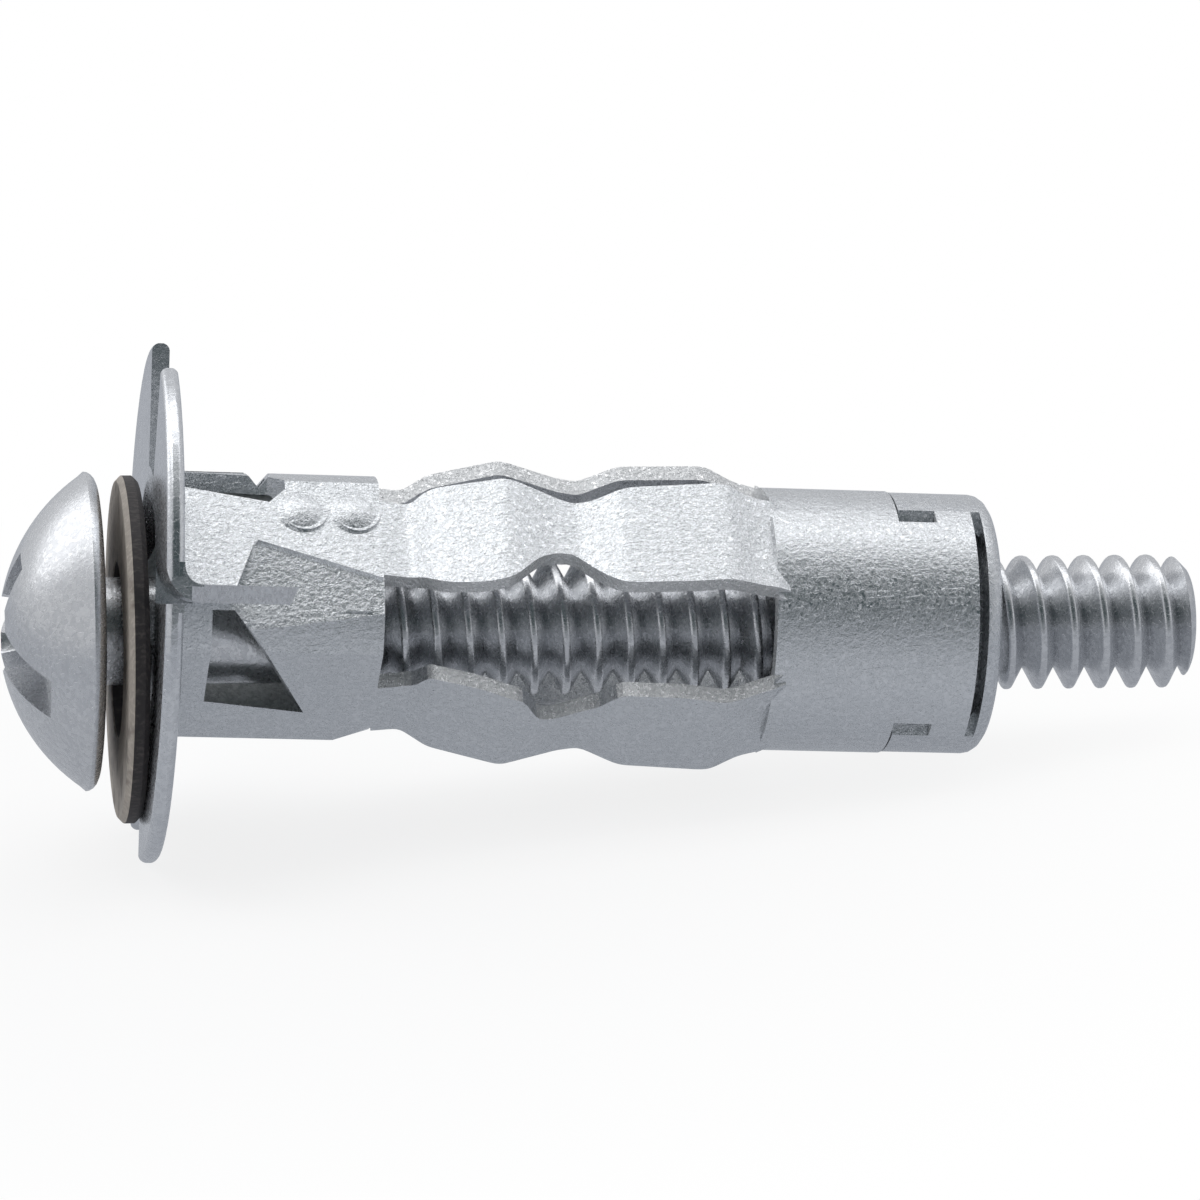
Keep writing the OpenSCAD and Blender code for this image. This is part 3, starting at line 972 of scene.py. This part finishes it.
@dataclass
class SheetSleeve:
    """The slotted and folded sheet sleeve, in its own millimetres.

    Args:
        sheet: Thickness of the sheet.
        neck_r: Radius over the neck's corners.
        legs_from: Depth at which the leg slots start.
        collar_from: Depth at which they end.
        collar_to: Depth at which the collar ends.
        turn: Turn of the legs about the axis, in degrees.
        notch_half: Half width of the collar's notches for the nut's arms.
        notch_from: Depth at which the notches start.
        pocket_half: Half width of the pocket at each notch's start.
        edge_w: Width of the worn rounding on the sheet's edges; not used.
        rim_w: Width of the rounding round the flange.
        flange_r: Radius of the flange.
        prong_v: Distance of the prongs from the flange's middle line.
        bend_r: Inner radius of the bend from the flange to a prong.
        neck_flat: Distance from the axis to the neck's flats.
        dimple_r: Radius of the dimples.
        dimple_h: Height of the dimples.
        dimple_side: Distance of the dimples from their flat's middle line.
        dimple_depths: Depths of the dimples.
    """

    sheet: float = 0.43
    neck_r: float = 3.25
    legs_from: float = 5.1
    collar_from: float = 14.7
    collar_to: float = 19.7
    turn: float = 37
    notch_half: float = 1.7
    notch_from: float = 17.85
    pocket_half: float = 2.1
    edge_w: float = 0.08
    rim_w: float = 0.2
    flange_r: float = 6.35
    prong_v: float = 0.05
    bend_r: float = 0.45
    neck_flat: float = 2.72
    dimple_r: float = 0.62
    dimple_h: float = 0.15
    dimple_side: float = 0.83
    dimple_depths: tuple[float, float] = (3.2, 4.5)

    def finish_of(self, face: bpy.types.MeshPolygon) -> int:
        """Gives a face's material slot: grained sheet, sheared edge, pressed sheet or the neck's inside, whose zinc is
        painted paler as if lit.
        """
        if self.is_sheared(face):
            return 1
        # Faces of the neck that look inwards get the paler, barely metallic inside zinc: painted light.
        if -self.legs_from < face.center.z < -0.1 and face.center.xy.normalized().dot(face.normal.xy) < -0.5:
            return 3
        return 2 if face.center.z > -0.01 or face.center.xy.length > self.neck_r + 0.3 and face.center.z > -4 else 0

    def is_sheared(self, face: bpy.types.MeshPolygon) -> bool:
        """Says whether a face is a sheared edge of the sheet."""
        middle, normal = face.center, face.normal
        depth = -middle.z
        if depth > self.legs_from and depth < self.collar_from:
            quarter = round((math.degrees(math.atan2(middle.y, middle.x)) - self.turn) / 90) * 90 + self.turn
            side = Vector((-math.sin(math.radians(quarter)), math.cos(math.radians(quarter)), 0))
            return abs(normal.dot(side)) > 0.6
        if depth > self.collar_from:
            out = Vector((middle.x, middle.y, 0)).normalized()
            return abs(normal.dot(out)) < 0.5
        return False

    def leg(self, angle: float, front: Sequence[Point], left: Sequence[Point],
            right: Sequence[Point]) -> bpy.types.Object:
        """Folds one leg and cuts it to its two edges.

        Args:
            angle: The leg's angle about the axis, in degrees.
            front: Its outer face.
            left: Its edge on the anticlockwise side.
            right: Its edge on the other side.

        Returns:
            The leg, in its place.
        """
        face = rounded(front, 0.18, 5)
        back = [(r - self.sheet, depth) for r, depth in reversed(face)]
        strip = prism("leg_face", [*face, *back], -2.2, 2.2)
        strip.data.transform(Matrix(((1, 0, 0, 0), (0, 0, 1, 0), (0, -1, 0, 0), (0, 0, 0, 1))))
        sides = [*rounded(left, 0.3), *[(-t, depth) for t, depth in reversed(rounded(right, 0.3))]]
        plan = prism("leg_plan", sides, 0, 5)
        plan.data.transform(Matrix(((0, 0, 1, 0), (1, 0, 0, 0), (0, -1, 0, 0), (0, 0, 0, 1))))
        outward(strip)
        outward(plan)
        combine(strip, plan, Cut.KEEP)
        strip.data.transform(Matrix.Translation((0, 0, -self.legs_from)) @ Matrix.Rotation(math.radians(angle), 4, "Z"))
        return strip

    def cut_openings(self, sleeve: bpy.types.Object) -> None:
        """Folds the legs anew and cuts the slits beside the flange and the collar's notches to shape.

        Args:
            sleeve: The sleeve.
        """
        length = self.collar_from - self.legs_from
        old = block("old_legs", (9, 9, length), (0, 0, -self.legs_from - length / 2))
        combine(sleeve, old, Cut.CARVE)
        for half in (0, 180):
            upper = self.leg(self.turn + half, UPPER_FACE, UPPER_BACK_EDGE, UPPER_SIDE_EDGE)
            combine(sleeve, upper, Cut.WELD)
            side = FAR_SIDE_EDGE if half else LOWER_SIDE_EDGE
            lower = self.leg(self.turn - 90 + half, LOWER_FACE, side, LOWER_BACK_EDGE)
            combine(sleeve, lower, Cut.WELD)
            turn = Matrix.Rotation(math.radians(half), 3, "Z")
            slit = prism("slit", [(0.42, -0.2), (1.2, -0.2), (1.5, 2.4), (1.25, 2.8), (1.05, 2.8), (0.8, 2.4)], 2.5, 3.6)
            slit.data.transform(turn.to_4x4() @ Matrix(((1, 0, 0, 0), (0, 0, 1, 0), (0, -1, 0, 0), (0, 0, 0, 1))))
            outward(slit)
            combine(sleeve, slit, Cut.CARVE)
            for width, length in ((self.notch_half, self.collar_to - self.notch_from + 1), (self.pocket_half, 0.95)):
                notch = block("collar_notch", (2 * width, 2, length), (0, 3.3, -self.notch_from - length / 2), turn)
                combine(sleeve, notch, Cut.CARVE)
        dip = prism("strip_dip", [(2.86, 2.2), (3.4, 1.75), (3.4, 2.62)], -2.0, 0.9)
        dip.data.transform(Matrix(((0, 0, 1, 0), (1, 0, 0, 0), (0, -1, 0, 0), (0, 0, 0, 1))))
        outward(dip)
        combine(sleeve, dip, Cut.CARVE)

    def press_neck(self, sleeve: bpy.types.Object) -> None:
        """Presses the neck's slanted crease and its seam, and tapers its lower corner towards the legs.

        Args:
            sleeve: The sleeve.
        """
        start, end = Vector((2.238, 1.55, -2.05)), Vector((2.826, 0.77, -4.85))
        along = (end - start).normalized()
        azimuth = math.radians(23)
        out = Vector((math.cos(azimuth), math.sin(azimuth), 0))
        out = (out - along * out.dot(along)).normalized()
        crease = block("crease", (3.6, 3.0, 0.8), (1.75, -1.5, 0.4))
        place = Matrix((along, out.cross(along), out)).transposed().to_4x4()
        crease.data.transform(Matrix.Translation(start) @ place)
        groove = prism("crease_groove", [(-0.22, 0.12), (0.02, -0.1), (0.07, -0.1), (0.12, 0.12)], 0.0, 3.2)
        groove.data.transform(Matrix.Translation(start) @ Matrix((out.cross(along) * -1, out, along)).transposed().to_4x4())
        outward(groove)
        seam = block("seam", (0.18, 0.08, 1.9), (self.neck_r, -0.1, -3.85))
        hook = block("seam_hook", (0.18, 0.25, 0.09), (self.neck_r, -0.19, -2.92))
        taper = turned("corner_taper", [(self.neck_r + 0.01, -4.2), (2.96, -5.12), (3.6, -5.12), (3.6, -4.2),
                                        (self.neck_r + 0.01, -4.2)], 96)
        combine(taper, block("lower_half", (8, 3, 3), (0, -3.6, -4.7)), Cut.KEEP)
        for cutter in (crease, groove, seam, hook, taper):
            combine(sleeve, cutter, Cut.CARVE)

    def round_flange(self, sleeve: bpy.types.Object) -> None:
        """Rounds the flange's rim and bends the prongs through a wider corner.

        Args:
            sleeve: The sleeve.
        """
        rim, t, out, low = self.rim_w, self.sheet, self.flange_r + 0.005, -0.002
        arc = [(math.sin(math.radians(a)), math.cos(math.radians(a))) for a in range(0, 91, 6)]
        upper = [(out - rim + rim * x, t + 0.004 - rim + rim * y) for x, y in arc]
        lower = [(out - rim + rim * x, low + rim - rim * y) for x, y in arc]
        for name, corner, level in (("rim_front", upper, t + 0.3), ("rim_back", lower, low)):
            ends = [(out + 0.3, corner[-1][1]), (out + 0.3, level), (corner[0][0], level)]
            ring = [*corner, *ends] if name == "rim_front" else [*corner, *ends[:2]]
            cutter = turned(name, [*ring, ring[0]], 192)
            if name == "rim_back":
                for side in (-1, 1):
                    combine(cutter, block("bend_clear", (3, 1.2, 2), (side * 6, side * 0.4, 0)), Cut.CARVE)
            combine(sleeve, cutter, Cut.CARVE)
        bend, low_v = self.bend_r, self.prong_v
        middle = (low_v + t + bend, -bend)
        inner = [(middle[0] - bend * x, middle[1] + bend * y) for x, y in arc]
        outer = [(middle[0] - (bend + t) * x, middle[1] + (bend + t) * y) for x, y in arc]
        fill = [(middle[0], 0.05), *inner, (low_v + t - 0.05, middle[1]), (low_v + t - 0.05, 0.05)]
        waste = [(middle[0], t + 0.3), *outer, (0.02, middle[1]), (0.02, t + 0.3)]
        across = Matrix(((0, 0, 1, 0), (1, 0, 0, 0), (0, 1, 0, 0), (0, 0, 0, 1)))
        for half in (0, 180):
            turn = Matrix.Rotation(math.radians(half), 4, "Z") @ across
            for name, outline, reach, cut in (("bend_fill", fill, -0.043, Cut.WELD),
                                              ("bend_waste", waste, 0.1, Cut.CARVE)):
                piece = prism(name, outline, self.neck_r - t / 2 + 0.003, self.flange_r + reach)
                piece.data.transform(turn)
                outward(piece)
                combine(sleeve, piece, cut)

    def press_dimples(self, sleeve: bpy.types.Object) -> None:
        """Raises the two pressed dimples on each of two opposite flats of the neck.

        Args:
            sleeve: The sleeve.
        """
        wide, high = self.dimple_r, self.dimple_h
        ball = (wide * wide + high * high) / (2 * high)
        sweep = math.asin(wide / ball)
        cap = [(ball * math.sin(sweep * i / 8), high - ball + ball * math.cos(sweep * i / 8)) for i in range(8, -1, -1)]
        for half in (0, 180):
            for depth in self.dimple_depths:
                dome = turned("dimple", [(0, -0.1), (wide, -0.1), *cap], 48)
                place = Matrix.Rotation(math.radians(self.turn + half), 4, "Z")
                place = place @ Matrix.Translation((self.neck_flat, self.dimple_side, -depth))
                dome.data.transform(place @ Matrix.Rotation(math.pi / 2, 4, "Y"))
                combine(sleeve, dome, Cut.WELD)

    def build(self, frames: AnchorFrame, *finishes: bpy.types.Material) -> bpy.types.Object:
        """Takes a merged copy of the sleeve's solid, cuts its openings, presses the neck, rounds the flange, raises the
        dimples and finishes it.

        Args:
            frames: The anchor's frames.
            finishes: The materials of its grained faces, sheared edges, pressed faces and inside, the last painted
                paler as if lit.

        Returns:
            The sleeve.
        """
        source = frame["nodes"]["sleeve"]
        sleeve = source.copy()
        sleeve.data = source.data.copy()
        sleeve.name = "sheet_sleeve"
        for key in list(sleeve.keys()):
            del sleeve[key]
        sleeve.parent = None
        bpy.context.scene.collection.objects.link(sleeve)
        sleeve.data.materials.clear()
        sleeve.data.transform(frames.sleeve.inverted())
        pick(sleeve)
        bpy.ops.mesh.customdata_custom_splitnormals_clear()
        outward(sleeve, 2e-3)
        self.cut_openings(sleeve)
        self.press_neck(sleeve)
        self.round_flange(sleeve)
        self.press_dimples(sleeve)
        edit(sleeve)
        bpy.ops.mesh.select_all(action="SELECT")
        bpy.ops.mesh.remove_doubles(threshold=2e-3)
        bpy.ops.mesh.dissolve_limited(angle_limit=math.radians(1.0))
        bpy.ops.mesh.select_all(action="SELECT")
        bpy.ops.mesh.fill_holes(sides=0)
        done()
        smooth(sleeve, 8)
        for finish in finishes:
            sleeve.data.materials.append(finish)
        for face in sleeve.data.polygons:
            face.material_index = self.finish_of(face)
        seat(sleeve, frames.sleeve, Body.SLEEVE, "sleeve")
        return sleeve


# ---------------------------------------------------------------- studio


@dataclass
class Studio:
    """The camera, the floor and the lights, set in the anchor's own frame.

    Args:
        swing: Angle by which the camera stands towards the head, in degrees.
        distance: Camera's distance from the anchor's axis, in millimetres.
        middle_depth: Depth at which the view is centred.
        middle_up: Height of the view's centre above the axis.
        roll: Roll of the camera, in degrees.
        lens: Focal length on a 36 mm sensor.
        key: Strength of the overhead panel, as a radiance.
        key_long: Length of the overhead panel along the anchor, in metres.
        key_wide: Width of the overhead panel, in metres.
        fill: Strength of the panel past the head, as a radiance.
        room: Colour of the room.
        gloom: Colour of the room's dark side, which the anchor's near side reflects.
        gloom_up: Height of the dark side's middle, in degrees.
        paper_glow: Colour of the floor in reflections.
    """

    swing: float = 8.5
    distance: float = 160.0
    middle_depth: float = 10.8
    middle_up: float = 0.36
    roll: float = 1.5
    lens: float = 194.4
    key: float = 1.2
    key_long: float = 0.9
    key_wide: float = 0.23
    fill: float = 1.1
    room: Tint = (0.66, 0.67, 0.69, 1)
    gloom: Tint = (0.06, 0.08, 0.085, 1)
    gloom_up: float = 26
    paper_glow: Tint = (0.47, 0.49, 0.53, 1)

    def camera(self, frames: AnchorFrame) -> bpy.types.Object:
        """Adds the camera.

        Args:
            frames: The anchor's frames.

        Returns:
            The camera.
        """
        swing, roll = math.radians(self.swing), math.radians(self.roll)
        away = Vector((math.cos(swing), 0, math.sin(swing)))
        right = Vector((math.sin(swing), 0, -math.cos(swing)))
        up = Vector((0, 1, 0))
        right, up = right * math.cos(roll) + up * math.sin(roll), up * math.cos(roll) - right * math.sin(roll)
        target = Vector((0, self.middle_up, -self.middle_depth))
        turn = frames.sleeve.to_3x3() * (1 / MM)
        axes = [(turn @ axis).normalized() for axis in (right, up, away)]
        where = frames.sleeve @ (target + away * self.distance)
        data = bpy.data.cameras.new("view")
        data.lens, data.sensor_width = self.lens, 36.0
        data.clip_start, data.clip_end = 0.005, 20.0
        camera = bpy.data.objects.new("view", data)
        bpy.context.scene.collection.objects.link(camera)
        camera.matrix_world = Matrix.Translation(where) @ Matrix(axes).transposed().to_4x4()
        bpy.context.scene.camera = camera
        return camera

    def panel(self, name: str, place: Vector, size: Point, strength: float, aim: Vector, along: Vector) -> None:
        """Adds a soft rectangular light.

        Args:
            name: The light's name.
            place: Where it stands, in metres.
            size: Its length and width, in metres.
            strength: Its radiance.
            aim: The point that it faces.
            along: Direction of its length.
        """
        data = bpy.data.lights.new(name, "AREA")
        data.shape, data.size, data.size_y = "RECTANGLE", size[0], size[1]
        data.energy = strength * math.pi * size[0] * size[1]
        light = bpy.data.objects.new(name, data)
        bpy.context.scene.collection.objects.link(light)
        z = (place - aim).normalized()
        x = (along - z * along.dot(z)).normalized()
        light.matrix_world = Matrix.Translation(place) @ Matrix((x, z.cross(x), z)).transposed().to_4x4()

    def floor(self, level: float) -> bpy.types.Object:
        """Lays the pale floor and paints it.

        Args:
            level: Height of the floor, in metres.

        Returns:
            The floor.
        """
        pick_nothing()
        bpy.ops.mesh.primitive_grid_add(x_subdivisions=8, y_subdivisions=8, size=6, location=(0, 0, level))
        floor = bpy.context.object
        floor.name = "floor"
        material = bpy.data.materials.new("studio_paper")
        material.use_nodes = True
        tree = material.node_tree
        tree.nodes.clear()
        wire = Wiring(tree)
        path = wire.add("ShaderNodeLightPath")
        seen = wire.maths("MAXIMUM", path.outputs["Is Camera Ray"], path.outputs["Is Glossy Ray"])
        seen = wire.maths("MAXIMUM", seen, path.outputs["Is Transmission Ray"])
        where = wire.add("ShaderNodeTexCoord").outputs["Object"]
        reach = wire.add("ShaderNodeVectorMath", {"operation": "LENGTH"}, in0=where).outputs["Value"]
        share = wire.spread(reach, 0.010, 0.035, 0.82, 1.0)
        tone = wire.blend(path.outputs["Is Camera Ray"], self.paper_glow, (1, 1, 1, 1))
        paper = wire.add("ShaderNodeBsdfPrincipled", Base_Color=(0.90, 0.90, 0.90, 1), Roughness=0.95)
        glow = wire.add("ShaderNodeEmission", Color=tone, Strength=1.0)
        mixed = wire.add("ShaderNodeMixShader", in0=wire.maths("MULTIPLY", seen, share), in1=paper.outputs[0],
                         in2=glow.outputs[0])
        wire.add("ShaderNodeOutputMaterial", Surface=mixed.outputs[0])
        floor.data.materials.append(material)
        floor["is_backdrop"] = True
        return floor

    def world(self, front: Vector) -> None:
        """Sets the room's tones and its white background.

        Args:
            front: Direction of the middle of the room's dark side.
        """
        world = bpy.data.worlds.new("room")
        bpy.context.scene.world = world
        world.use_nodes = True
        tree = world.node_tree
        tree.nodes.clear()
        wire = Wiring(tree)
        path = wire.add("ShaderNodeLightPath")
        way = wire.add("ShaderNodeTexCoord").outputs["Generated"]
        facing = wire.add("ShaderNodeVectorMath", {"operation": "DOT_PRODUCT"}, in0=way, in1=front).outputs["Value"]
        tone = wire.blend(wire.spread(facing, 0.58, 0.95), self.room, self.gloom)
        white = wire.add("ShaderNodeBackground", Color=(1, 1, 1, 1), Strength=1.0)
        walls = wire.add("ShaderNodeBackground", Color=tone, Strength=1.0)
        mixed = wire.add("ShaderNodeMixShader", in0=path.outputs["Is Camera Ray"], in1=walls.outputs[0],
                         in2=white.outputs[0])
        wire.add("ShaderNodeOutputWorld", Surface=mixed.outputs[0])

    def build(self, frames: AnchorFrame) -> None:
        """Sets up the whole studio.

        Args:
            frames: The anchor's frames.
        """
        scene = bpy.context.scene
        scene.view_settings.view_transform = "Standard"
        self.camera(frames)
        turn = frames.sleeve.to_3x3() * (1 / MM)
        up = math.radians(self.gloom_up)
        self.world(turn @ Vector((math.cos(up), math.sin(up), 0)))
        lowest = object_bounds()[0]
        self.floor(lowest[2])
        aim = frames.sleeve @ Vector((0, 0, -self.middle_depth))
        above = (turn @ Vector((0.0, 1.0, 0.05))).normalized()
        axis = turn @ Vector((0, 0, 1))
        self.panel("overhead_panel", aim + above * 0.5, (self.key_long, self.key_wide), self.key, aim, axis)
        beyond = (turn @ Vector((-0.36, 0.58, 0.73))).normalized()
        self.panel("head_panel", aim + beyond * 0.8, (0.5, 0.5), self.fill, aim, axis)
        front = (turn @ Vector((0.5, 1.0, 0.05))).normalized()
        self.panel("front_panel", aim + front * 0.52, (self.key_long, 0.38), 0.24, aim, axis)
        crown = (turn @ Vector((0.24, 1.0, 0.45))).normalized()
        self.panel("crown_panel", aim + crown * 0.49, (0.22, 0.22), 1.1, aim, axis)
        LOG.info("studio set")


def pick_nothing() -> None:
    """Deselects everything."""
    bpy.ops.object.select_all(action="DESELECT")


def main() -> None:
    """Sets up the studio, then builds the anchor's pieces in order and reports each."""
    logging.basicConfig(level=logging.INFO, format="%(name)s %(message)s")
    frames = AnchorFrame.from_record(frame["record"])
    studio = Studio()
    studio.build(frames)
    sheet, sheared = SHEET_ZINC.material(), SHEARED_ZINC.material()
    SheetSleeve().build(frames, sheet, sheared, PRESSED_ZINC.material(), INSIDE_PAINTED_LIGHT_ZINC.material())
    EndNut().build(frames, NUT_ZINC.material(), sheared)
    FibreWasher().build(frames, WASHER_FIBRE.material(), WASHER_SHADED_RIM.material())
    MachineScrew().build(frames, SCREW_ZINC.material())


if __name__ == "__main__":
    main()
